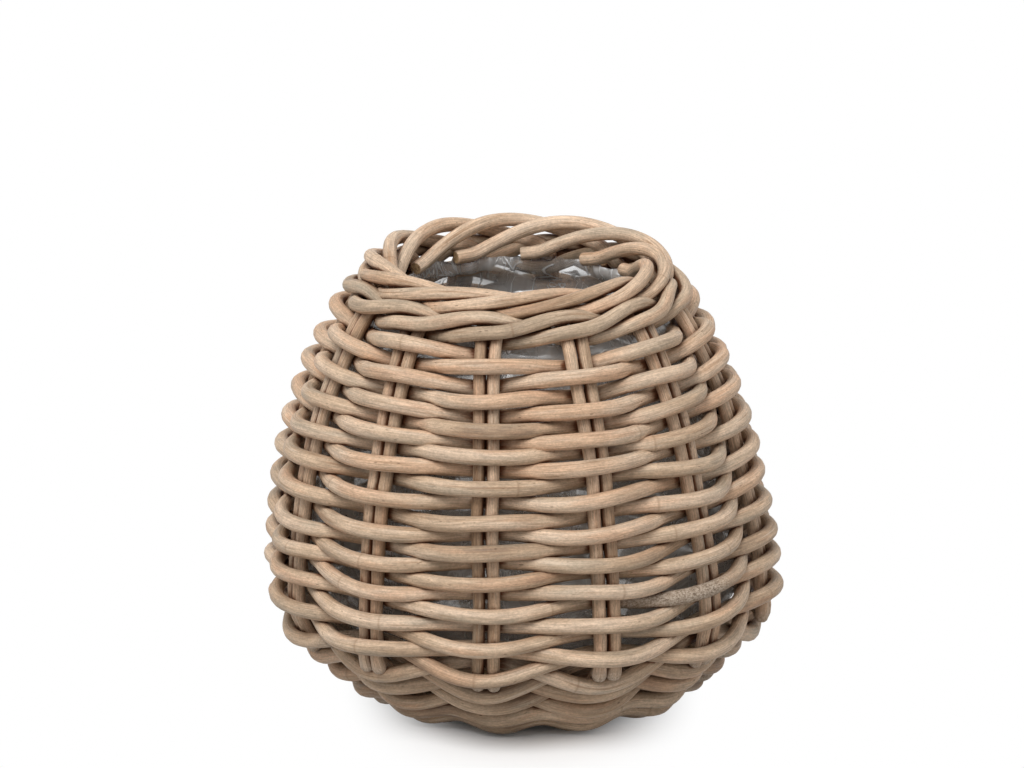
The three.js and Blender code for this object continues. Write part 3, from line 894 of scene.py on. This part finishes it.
for pair in range(STAKE_PAIRS):
    draw = np.random.RandomState(300 + pair)
    stake = np.vstack([stake_wall(pair, -PAIR_OFFSET, WALL_LENGTH, draw), stake_border(pair, draw)])
    bye_stake = stake_wall(pair, PAIR_OFFSET, WALL_LENGTH - BYE_STAKE_DROP, draw)
    neck = WALL_LENGTH - stake_foot(pair)
    swell_at = (*KNOB_LENGTHS, neck - SWELL_FROM, neck + SWELL_TO)
    swell = (swell_at, (*KNOB_SWELL, 1.0, BORDER_SWELL))
    # Painted light: the stakes are tinted paler towards the back of the pot, where the rim lies in
    # shade, and darker towards the front.
    far = -math.cos(math.radians(pair_angle(pair) + BORDER_LEAD))
    for kind, stations in (("stake", stake), ("bye_stake", bye_stake)):
        diameter = STAKE_DIAMETER * draw.uniform(*STAKE_SPREAD)
        seed = draw.randint(400, 900)
        tint = draw.uniform(*STAKE_TINT) + BACK_PAINTED_LIGHT * far + KNOB_PALE
        make_rod(
            f"{kind}_{pair + 1:02d}_rattan", bent_rod(stations, ROD_STEP), diameter, stake_finish,
            f"{kind}_{pair + 1:02d}", seed=seed, tint=(KNOB_LENGTHS, tint),
            bark=(KNOB_LENGTHS, KNOB_BARK), swell=swell,
        )
print("stakes:", STAKE_PAIRS, "pairs")

# %% [markdown]
# ## Wale
# Under the border three rods twist round the stakes. Each passes in front of two pairs,
# climbing from the lower to the upper level, and then behind the third. This locks the
# top of the weave.

# %% Wale rods
WALE_RODS = 3
WALE_SWELL = 1.07
WALE_OUT = (STAKE_DIAMETER + WALE_DIAMETER) / 2 + ROD_CLEARANCE
CROSS_OUT = WALE_OUT * 0.4
BOW_OUT = WALE_OUT + 1 * MM
WALE_CLIMB = 0.65
WALE_EASE = 6
CROSS_EARLY = 0.3
CROSS_LATE = 0.7


def wale_route(rod):
    start = rod + WALE_RODS - 1
    places = [(start, END_GAP / 2, 0, -WALE_OUT)]
    for crossing in range(start, start + STAKE_PAIRS, WALE_RODS):
        places += [
            (crossing, PASS_HALF, -0.5, -WALE_OUT),
            (crossing + CROSS_EARLY, 0, -1, -CROSS_OUT),
            (crossing + CROSS_LATE, 0, -1, CROSS_OUT),
            (crossing + 1, -PASS_HALF, -1, WALE_OUT),
            (crossing + 1, PASS_HALF, -1, WALE_OUT),
            (crossing + 1 + CROSS_EARLY, 0, -WALE_CLIMB, BOW_OUT),
            (crossing + 1 + CROSS_LATE, 0, WALE_CLIMB, BOW_OUT),
            (crossing + 2, -PASS_HALF, 1, WALE_OUT),
            (crossing + 2, PASS_HALF, 1, WALE_OUT),
            (crossing + 2 + CROSS_EARLY, 0, 1, CROSS_OUT),
            (crossing + 2 + CROSS_LATE, 0, 1, -CROSS_OUT),
            (crossing + WALE_RODS, -PASS_HALF, 0.5, -WALE_OUT),
        ]
    places.append((start + STAKE_PAIRS, -END_GAP / 2, 0, -WALE_OUT))
    crossing, shift, rise, out = np.array(places).T
    level = WALE_LEVEL + rise * WALE_RISE
    stations = on_wall(pair_angle(crossing), level, out, shift)
    return eased(bent_rod(stations, ROD_STEP), WALE_EASE)


for rod in range(WALE_RODS):
    make_rod(
        f"wale_rod_{rod + 1:02d}_rattan", wale_route(rod), WALE_DIAMETER * WALE_SWELL, wale_finish,
        f"wale_rod_{rod + 1:02d}", seed=920 + rod, tint=0.45 + 0.1 * rod,
    )
print("wale rods:", WALE_RODS)

# %% [markdown]
# ## Base
# Three sticks lie across three others in the middle of the base. Their ends fan out like
# the spokes of a wheel, bend up at the foot and end under the stakes. Two thin rods are
# woven round them. All of it is hidden from the front, but it is what the pot is built
# on, and it shows when the pot is turned over.

# %% Base
BASE_BAND_WIDTH = 23 * MM
BASE_EDGE_GAP = 3 * MM
BASE_EDGE = FOOT_RADIUS - (WEAVER_DIAMETER + BASE_WEAVER_DIAMETER) / 2 - BASE_EDGE_GAP
BASE_ROW_START = BASE_EDGE - BASE_BAND_WIDTH
FAN_GAP = 3.5 * MM
FAN_RADIUS = BASE_ROW_START - FAN_GAP
SLATH_HALF = 20 * MM
BASE_PITCH = BASE_WEAVER_DIAMETER + ROW_CLEARANCE
BASE_OUT = (SPOKE_DIAMETER + BASE_WEAVER_DIAMETER) / 2 + ROD_CLEARANCE
STICKS = STAKE_PAIRS // 2
STICK_SLIM = 0.98
BASE_WEAVERS = 2


def spoke(pair):
    end = stake_foot(pair) - STAKE_DIAMETER / 2 - END_GAP - ROD_CLEARANCE
    up = on_wall(pair_angle(pair), np.linspace(0, end, 14), 0)
    return np.vstack([around(pair_angle(pair), FAN_RADIUS, BASE_HEIGHT), up])


def stick_route(stick):
    layer = -1 if stick < STICKS // 2 else 1
    middle = 1 if layer < 0 else 1 + STICKS // 2
    place = stick % (STICKS // 2) - 1
    heading = around(pair_angle(middle), 1, 0)
    across = around(pair_angle(middle) + 90, place * (SPOKE_DIAMETER + ROD_CLEARANCE), 0)
    slath = across + heading * np.array([[-SLATH_HALF], [SLATH_HALF]])
    slath[:, 2] = BASE_HEIGHT + layer * (SPOKE_DIAMETER + ROD_CLEARANCE) / 2
    far = spoke((middle + STICKS - place) % STAKE_PAIRS)
    return bent_rod(np.vstack([far[::-1], slath, spoke(middle + place)]), ROD_STEP)


def base_weaver_route(strand):
    crossings = math.floor(BASE_BAND_WIDTH * STAKE_PAIRS / (2 * BASE_PITCH))
    crossing = np.linspace(0, crossings, crossings * STEPS_PER_CROSSING)
    radius = BASE_ROW_START + 2 * BASE_PITCH * crossing / STAKE_PAIRS
    height = BASE_HEIGHT + BASE_OUT * np.cos(math.pi * (crossing + strand))
    return around(pair_angle(crossing + strand * STICKS), radius, height)


for stick in range(STICKS):
    make_rod(
        f"base_stick_{stick + 1:02d}_rattan", stick_route(stick), SPOKE_DIAMETER * STICK_SLIM,
        base_finish, f"base_stick_{stick + 1:02d}",
        seed=940 + stick, tint=0.35 + 0.05 * stick,
    )
for strand in range(BASE_WEAVERS):
    make_rod(
        f"base_weaver_{strand + 1:02d}_rattan", base_weaver_route(strand), BASE_WEAVER_DIAMETER,
        base_finish, f"base_weaver_{strand + 1:02d}", seed=960 + strand, tint=0.5,
    )
print("base:", STICKS, "sticks and", BASE_WEAVERS, "weavers")

# %% [markdown]
# ## Painted shade in the nooks
# The nooks where rods lie against each other are darkened with painted shade, a dark
# brown line round each of them. Blender could find such places with an Ambient Occlusion
# node, but that is slow to bake. Here each point of a rod adds up how much of its outlook
# the neighbouring rods take, and keeps that as a number that the rattan finish paints as shade.

# %% Nooks
NOOK_REACH = 24 * MM
NOOK_PACE = 6 * MM
NOOK_NEIGHBOURS = 40
FAR_AWAY = 1e3


def even_points(line):
    along = lengths_along(line)
    return at_lengths(line, along, np.arange(NOOK_PACE / 2, along[-1], NOOK_PACE))


def read_points(mesh, name, field, width):
    values = np.empty(len(mesh.vertices) * width, dtype=np.float32)
    source = mesh.vertices if name is None else mesh.attributes[name].data
    source.foreach_get(field, values)
    return values.reshape(-1, width) if width > 1 else values


def neighbours(line, rod):
    """The nearest points of other rods to each ring of a rod."""
    found = np.full((len(line), NOOK_NEIGHBOURS, 3), FAR_AWAY)
    for ring, centre in enumerate(line):
        around_it = nearby.find_range(centre, NOOK_REACH)
        near = [spot for spot, index, _ in around_it if owners[index] != rod]
        if near:
            found[ring, : len(near)] = near[:NOOK_NEIGHBOURS]
    return found


sampled = [even_points(line) for line in rod_lines.values()]
owners = np.repeat(np.arange(len(sampled)), [len(points) for points in sampled])
nearby = kdtree.KDTree(len(owners))
for index, spot in enumerate(np.vstack(sampled)):
    nearby.insert(spot, index)
nearby.balance()
outlook = NOOK_PACE * WEAVER_DIAMETER / math.pi
for rod, (name, line) in enumerate(rod_lines.items()):
    mesh = bpy.data.objects[name].data
    places = read_points(mesh, None, "co", 3)
    ring = np.rint(read_points(mesh, "ring", "value", 1)).astype(int)
    outwards = places - line[ring]
    outwards /= np.linalg.norm(outwards, axis=1, keepdims=True)
    towards = neighbours(line, rod)[ring] - places[:, None]
    apart = np.linalg.norm(towards, axis=2)
    facing = np.clip((towards * outwards[:, None]).sum(axis=2) / apart, 0, None)
    write_on(mesh, "nook", "FLOAT", np.minimum((outlook * facing / apart**2).sum(axis=1), 1))
    mesh.attributes.remove(mesh.attributes["ring"])
print("nooks found on", len(rod_lines), "rods")

# %% [markdown]
# ## Liner
# A bag of clear film keeps water off the rattan. It is pressed against the inside of the
# weave and stands crumpled under the border. A line from the middle of the floor to the
# rim is spun round into a bag. Its points are then pushed inwards in flat facets with
# sharp creases between them, and in pleats near the top, where the film is too wide for
# the neck.

# %% Liner shape
LINER_INSET = 18.8 * MM
LINER_TOP = 321 * MM
LINER_START = 14 * MM
LINER_COLLAR = 6 * MM
FLOOR_RINGS = 22
FLOOR_CORNER = 3 * MM
LINER_SEGMENTS = 288
LINER_STEP = 4.5 * MM
FACET_SIZE = 46 * MM
FACET_DEPTH = 4 * MM
PLEATS_ACROSS = 5.5
PLEAT_LENGTH = 55 * MM
PLEAT_DEPTH = 7 * MM
PLEAT_ZONE = 60 * MM
CRINKLE_SIZE = 13 * MM
CRINKLE_DEPTH = 0.35 * MM
LEAST_SLACK = 0.3
EDGE_WAVE = 3 * MM
EDGE_WAVE_SIZE = 17 * MM
EDGE_WAVE_ZONE = 22 * MM
FILM_THICKNESS = 0.25 * MM


def liner_line():
    """Radius and height from the middle of the floor to the top edge."""
    lengths = np.arange(LINER_START, WALL_LENGTH, LINER_STEP)
    radius, height = at_lengths(wall, wall_along, lengths).T
    rise_out, rise_up = at_lengths(wall_rise, wall_along, lengths).T
    side = np.column_stack([radius - LINER_INSET * rise_up, height + LINER_INSET * rise_out])
    floor_height = BASE_HEIGHT + LINER_INSET
    above_floor = side[:, 1] > floor_height + 1 * MM
    side = side[above_floor & (side[:, 1] < LINER_TOP - LINER_COLLAR)]
    across = np.linspace(0, side[0, 0] - FLOOR_CORNER, FLOOR_RINGS)
    flat = np.column_stack([across, np.full(len(across), floor_height)])
    collar = np.column_stack([np.full(3, side[-1, 0]), np.linspace(side[-1, 1], LINER_TOP, 4)[1:]])
    return np.vstack([flat, side, collar])


def ridge(place):
    """One along the sharp crest of a fold, falling to nought between folds."""
    return max(0, 1 - 2.4 * abs(noise.noise(place)))


def crumple(place):
    """How far the film stands in from its smooth shape."""
    spots = noise.voronoi(place / FACET_SIZE)[0]
    facet = 1 - min(1, spots[1] - spots[0])
    turn = math.atan2(place.y, place.x)
    around_fold = Vector((math.cos(turn), math.sin(turn), 0)) * PLEATS_ACROSS
    pleat = ridge(around_fold + Vector((0, 0, place.z / PLEAT_LENGTH)))
    crinkle = ridge(place / CRINKLE_SIZE)
    high = max(0, 1 - (LINER_TOP - place.z) / PLEAT_ZONE)
    slack = LEAST_SLACK + (1 - LEAST_SLACK) * high
    return slack * (FACET_DEPTH * facet + PLEAT_DEPTH * pleat) + CRINKLE_DEPTH * crinkle


def make_liner():
    form = bmesh.new()
    corners = [form.verts.new((radius, 0, height)) for radius, height in liner_line()]
    edges = [form.edges.new(ends) for ends in zip(corners, corners[1:])]
    bmesh.ops.spin(
        form, geom=corners + edges, cent=(0, 0, 0), axis=(0, 0, 1), dvec=(0, 0, 0),
        angle=2 * math.pi, steps=LINER_SEGMENTS, use_merge=True, use_duplicate=False,
    )
    bmesh.ops.remove_doubles(form, verts=form.verts, dist=0.01 * MM)
    bmesh.ops.recalc_face_normals(form, faces=form.faces)
    form.normal_update()
    inwards = {vertex: -vertex.normal for vertex in form.verts}
    for vertex, way in inwards.items():
        if way.dot(Vector((-vertex.co.x, -vertex.co.y, 0.2))) < 0:
            way = -way
        push = crumple(vertex.co)
        wave = noise.noise(Vector((vertex.co.x, vertex.co.y, 0)) / EDGE_WAVE_SIZE)
        high = max(0, 1 - (LINER_TOP - vertex.co.z) / EDGE_WAVE_ZONE)
        vertex.co += way * push
        vertex.co.z += EDGE_WAVE * wave * high
        vertex.co = leaned(np.array([vertex.co]))[0]
    for face in form.faces:
        face.smooth = True
    mesh = bpy.data.meshes.new("liner_film")
    form.to_mesh(mesh)
    form.free()
    return bpy.data.objects.new("liner_film", mesh)


liner = make_liner()
scene.collection.objects.link(liner)
film = liner.modifiers.new("film", "SOLIDIFY")
film.thickness = FILM_THICKNESS
film.offset = 0
film_area = sum(face.area for face in liner.data.polygons)
print("liner:", len(liner.data.polygons), "faces,", round(film_area, 3), "square metres of film")

# %% [markdown]
# The film is a little milky all over, and loose and gathered near the mouth, where it is
# painted paler as painted light. There its folds carry fine white streaks of painted highlight,
# and a few patches are clearer than the rest.

# %% Film
FILM_DIM = (0.42, 0.385, 0.34, 1)
FILM_CLEAR = (0.6, 0.575, 0.54, 1)
FILM_MOUTH_PAINTED_LIGHT = (0.8, 0.81, 0.82, 1)
FILM_PAINTED_HIGHLIGHT = (0.95, 0.95, 0.95, 1)
FILM_METALLIC = 0.1
FILM_IOR = 1.55


def clear_film(name):
    material, tree, shader = new_material(name)
    place = tree.nodes.new("ShaderNodeTexCoord").outputs["Object"]
    haze = cloudy(tree, place, 22, detail=3)
    bent = blended(tree, 0.02, place, cloudy(tree, place, 30, detail=1))
    creases = cells(tree, stretched(tree, bent, (1, 1, 0.6)), 42, "DISTANCE_TO_EDGE")
    broken = between(tree, cloudy(tree, place, 55, detail=1), 0.46, 0.56)
    crest_and_highlight = reckon(tree, "MULTIPLY", between(tree, creases, 0.0, 0.035, 1, 0), broken)
    height = tree.nodes.new("ShaderNodeSeparateXYZ")
    feed(tree, height.inputs["Vector"], place)
    loose = between(tree, height.outputs["Z"], LINER_TOP - 90 * MM, LINER_TOP - 35 * MM, 0.25, 1.0)
    folds = cloudy(tree, stretched(tree, bent, (150, 150, 14)), 1, detail=2)
    off_fold = reckon(tree, "ABSOLUTE", reckon(tree, "SUBTRACT", folds, 0.5), 0)
    ridges = between(tree, off_fold, 0.0, 0.025, 1, 0)
    gathered = between(tree, cloudy(tree, place, 26, detail=1), 0.47, 0.57)
    streaks = reckon(tree, "MULTIPLY", ridges, gathered)
    crest_and_highlight = reckon(tree, "MULTIPLY", reckon(tree, "MAXIMUM", crest_and_highlight, streaks), loose)
    cleared = between(tree, cloudy(tree, place, 15, detail=1), 0.56, 0.66, 0, 0.5)
    window = reckon(tree, "MULTIPLY", cleared, loose)
    colour = blended(tree, between(tree, haze, 0.35, 0.7), FILM_DIM, FILM_CLEAR)
    # Painted light: the film is painted paler towards the mouth, where the light falls in.
    mouth_painted_light = between(tree, height.outputs["Z"], LINER_TOP - 70 * MM, LINER_TOP - 35 * MM, 0, 0.7)
    colour = blended(tree, mouth_painted_light, colour, FILM_MOUTH_PAINTED_LIGHT)
    # Painted highlight: the crests of the folds near the mouth are coloured near white. The same
    # crests also make the film less clear and are raised as creases.
    feed(tree, shader.inputs["Base Color"], blended(tree, crest_and_highlight, colour, FILM_PAINTED_HIGHLIGHT))
    thin = between(tree, height.outputs["Z"], LINER_TOP - 25 * MM, LINER_TOP, 1.0, 0.75)
    milky = reckon(tree, "MULTIPLY", between(tree, haze, 0.3, 0.75, 0.36, 0.6), thin)
    milky = reckon(tree, "MULTIPLY", milky, reckon(tree, "SUBTRACT", 1, window))
    milky = reckon(tree, "ADD", milky, reckon(tree, "MULTIPLY", crest_and_highlight, 0.5))
    feed(tree, shader.inputs["Alpha"], milky)
    feed(tree, shader.inputs["Roughness"], between(tree, haze, 0.3, 0.7, 0.16, 0.32))
    shader.inputs["Metallic"].default_value = FILM_METALLIC
    shader.inputs["Specular IOR Level"].default_value = 1.0
    shader.inputs["IOR"].default_value = FILM_IOR
    feed(tree, shader.inputs["Normal"], raised(tree, crest_and_highlight, 0.45, 1.5 * MM))
    return material


liner.data.materials.append(clear_film("liner_film"))
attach(liner, "root")
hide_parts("liner")
print("film over the base sticks")
